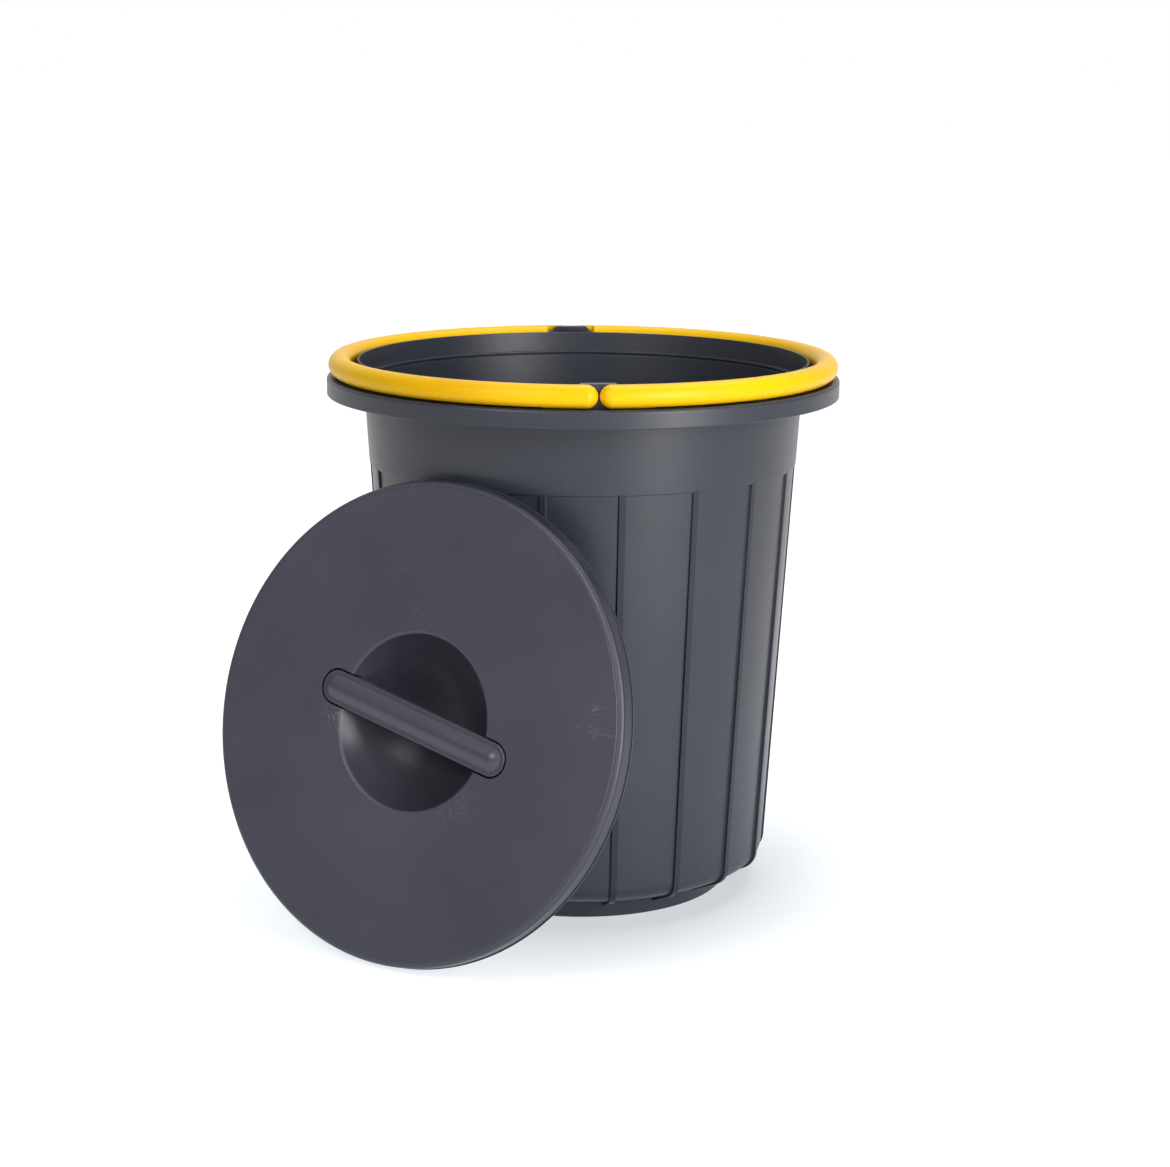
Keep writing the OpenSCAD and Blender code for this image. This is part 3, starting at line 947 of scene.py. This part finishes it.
def snap_leg(grip, lid, side):
    """One snap leg of the grip bar, from inside the bar down to its hook below the pocket's floor."""
    half = grip.clip_wall / 2
    root = grip.edge - lid.pocket_depth
    under = -lid.pocket_depth - lid.wall - grip.clip_play
    tip = under - 2 * grip.clip_hook
    outline = [
        Vector((-half, root)),
        Vector((-half, tip)),
        Vector((half, tip)),
        Vector((half + grip.clip_hook, under)),
        Vector((half, under)),
        Vector((half, root)),
    ]
    mesh = flat_curve("snap leg", [outline], grip.clip_width, grip.edge / 6)
    mesh.transform(Matrix.Rotation(math.pi / 2, 4, "X"))
    mesh.transform(Matrix.Translation((lid.clip_place, 0, 0)))
    mesh.transform(Matrix.Rotation(math.pi if side < 0 else 0.0, 4, "Z"))
    return finished("snap leg", mesh, finish_for("grip plastic"))


class BIN_OT_grip(bpy.types.Operator):
    """Mould the grip bar with its raised middle and snap legs"""

    bl_idname = "bin.grip"
    bl_label = "Grip bar"

    def execute(self, context):
        grip, lid = context.scene.bin_grip, context.scene.bin_lid
        ball = (grip.ridge ** 2 + grip.rise ** 2) / (2 * grip.rise)
        foot = math.atan2(ball - grip.rise, grip.ridge)
        # The dome stops just short of its foot, for the rounding there, and of its crown
        dome = arc(Vector((0, grip.rise - ball)), ball, foot + 0.06, math.pi / 2 - 0.04, 14)
        depth = lid.pocket_depth
        levels = rounded([
            (grip.radius - 3 * grip.edge, -depth, 0),
            (grip.radius, -depth, grip.edge / 2),
            (grip.radius, 0, grip.edge),
            (grip.ridge, 0, grip.edge / 3),
            (dome[0].x, dome[0].y, 0),
        ]) + dome[1:]
        bar = stadium_block("grip_bar", lid.pocket_half, levels, 32, "grip plastic")
        inner = grip.radius - grip.wall
        hollow = stadium_block("hollow", grip.hollow, [(inner, -2 * depth), (inner, -grip.wall)])
        legs = [("UNION", snap_leg(grip, lid, side)) for side in (1, -1)]
        combined(bar, [("DIFFERENCE", hollow), *legs])
        bar.data.transform(lid_place(lid) @ Matrix.Rotation(lid.bar_turn, 4, "Z"))
        paint(bar, finish_for("grip plastic"))
        tidy(bar)
        bar.data.set_sharp_from_angle(angle=math.radians(35))
        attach(bar, "lid")
        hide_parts("lid_grip")
        return {"FINISHED"}


def lamp(name, place, width, height, watts):
    """A soft area lamp that looks at the aim."""
    data = bpy.data.lights.new(name, "AREA")
    data.shape = "RECTANGLE"
    data.size = width
    data.size_y = height
    data.energy = watts
    obj = bpy.data.objects.new(name, data)
    bpy.context.scene.collection.objects.link(obj)
    obj.location = place
    obj.rotation_euler = (Vector(AIM) - Vector(place)).to_track_quat("-Z", "Y").to_euler()


def light_world(ambient):
    """A white room, dimmer on both sides than ahead and behind, that lights little by itself."""
    world = bpy.data.worlds.new("white room")
    bpy.context.scene.world = world
    world.use_nodes = True
    sheet = NodeSheet(world.node_tree)
    path = sheet.add("ShaderNodeLightPath").outputs
    heading = sheet.add("ShaderNodeTexCoord").outputs["Generated"]
    way = sheet.make("ShaderNodeSeparateXYZ", Vector=heading)
    room = spread(sheet, sheet.maths("ABSOLUTE", way.outputs["X"]), 0.3, 0.85, 1.0, 0.5)
    mirrored = sheet.maths("MAXIMUM", path["Is Glossy Ray"], path["Is Transmission Ray"])
    room = sheet.maths("MULTIPLY", room, spread(sheet, mirrored, 0.0, 1.0, ambient, 1.0))
    strength = sheet.maths("MAXIMUM", room, path["Is Camera Ray"])
    background = sheet.make("ShaderNodeBackground", Color=(*WHITE, 1.0), Strength=strength)
    sheet.make("ShaderNodeOutputWorld", Surface=background.outputs[0])


def floor_material():
    """Pale floor that keeps the object's soft shadow, glows less and bluer near the object as a painted
    shadow, and is white further off.
    """
    material = bpy.data.materials.new("pale floor")
    material.use_nodes = True
    sheet = NodeSheet(material.node_tree)
    far = sheet.add("ShaderNodeVectorMath", operation="LENGTH")
    sheet.join(sheet.add("ShaderNodeTexCoord").outputs["Object"], far.inputs[0])
    path = sheet.add("ShaderNodeLightPath").outputs
    direct = sheet.maths("MAXIMUM", path["Is Camera Ray"], path["Is Glossy Ray"])
    matte = sheet.make("ShaderNodeBsdfDiffuse", Color=spread(sheet, direct, 0.0, 1.0, 0.82, 0.5))
    # Weaker glow near the object: a painted soft shadow round the foot
    lift = spread(sheet, far.outputs["Value"], 0.12, 0.30, 0.52, 1.0)
    hue = blend(sheet, spread(sheet, far.outputs["Value"], 0.35, 0.8), FLOOR_SHADE_TINT, WHITE)
    strength = sheet.maths("MULTIPLY", lift, direct)
    glow = sheet.make("ShaderNodeEmission", Color=hue, Strength=strength)
    total = sheet.add("ShaderNodeAddShader")
    sheet.join(matte.outputs[0], total.inputs[0])
    sheet.join(glow.outputs[0], total.inputs[1])
    sheet.make("ShaderNodeOutputMaterial", Surface=total.outputs[0])
    return material


def lay_floor():
    """A wide round floor just below the object."""
    work = bmesh.new()
    bmesh.ops.create_circle(work, cap_ends=True, segments=64, radius=FLOOR_RADIUS)
    mesh = bpy.data.meshes.new("floor")
    work.to_mesh(mesh)
    work.free()
    floor = bpy.data.objects.new("floor", mesh)
    bpy.context.scene.collection.objects.link(floor)
    paint(floor, floor_material())
    floor.location.z = min(0.0, CAD_BOX[0].z) - FLOOR_GAP


def set_camera(look):
    """The camera of the photographed view."""
    data = bpy.data.cameras.new("camera")
    data.sensor_width = 36.0
    data.lens = look.lens
    data.clip_start = 50 * MM
    camera = bpy.data.objects.new("camera", data)
    bpy.context.scene.collection.objects.link(camera)
    bpy.context.scene.camera = camera
    place = Vector((
        -look.distance * math.sin(look.azimuth),
        -look.distance * math.cos(look.azimuth),
        look.height,
    ))
    camera.matrix_world = (
        Matrix.Translation(place)
        @ Matrix.Rotation(-look.azimuth - look.heading, 4, "Z")
        @ Matrix.Rotation(math.pi / 2 - look.pitch, 4, "X")
        @ Matrix.Rotation(look.roll, 4, "Z")
    )


class BIN_OT_stage(bpy.types.Operator):
    """Set the floor, the lamps, the world and the camera"""

    bl_idname = "bin.stage"
    bl_label = "Stage"

    def execute(self, context):
        look = context.scene.bin_stage
        context.scene.view_settings.view_transform = "Standard"
        lay_floor()
        light_world(look.ambient)
        for name, place, width, height in LAMPS:
            lamp(name, place, width, height, getattr(look, name))
        set_camera(look)
        return {"FINISHED"}


STEPS = (BIN_OT_stage, BIN_OT_shell, BIN_OT_ribs, BIN_OT_lugs, BIN_OT_handles, BIN_OT_lid, BIN_OT_grip)
GROUPS = (
    ("bin_shell", ShellSizes),
    ("bin_ribs", RibSizes),
    ("bin_lugs", LugSizes),
    ("bin_lid", LidSizes),
    ("bin_grip", GripSizes),
    ("bin_finishes", Finishes),
    ("bin_stage", StageLook),
)


class BIN_PT_pieces(bpy.types.Panel):
    """Lists the pieces and their sizes"""

    bl_idname = "BIN_PT_pieces"
    bl_label = "Lidded Bin"
    bl_space_type = "VIEW_3D"
    bl_region_type = "UI"
    bl_category = "Lidded Bin"

    def draw(self, context):
        for step in STEPS:
            self.layout.operator(step.bl_idname)
        for name, group in GROUPS:
            box = self.layout.box()
            for key in group.__annotations__:
                box.prop(getattr(context.scene, name), key)


def register():
    for name, group in GROUPS:
        bpy.utils.register_class(group)
        setattr(bpy.types.Scene, name, PointerProperty(type=group))
    for cls in (*STEPS, BIN_PT_pieces):
        bpy.utils.register_class(cls)


def unregister():
    for cls in (BIN_PT_pieces, *reversed(STEPS)):
        bpy.utils.unregister_class(cls)
    for name, group in reversed(GROUPS):
        delattr(bpy.types.Scene, name)
        bpy.utils.unregister_class(group)


def main():
    register()
    bpy.ops.bin.stage()
    bpy.ops.bin.shell()
    bpy.ops.bin.ribs()
    bpy.ops.bin.lugs()
    bpy.ops.bin.handles()
    bpy.ops.bin.lid()
    bpy.ops.bin.grip()


if __name__ == "__main__":
    main()
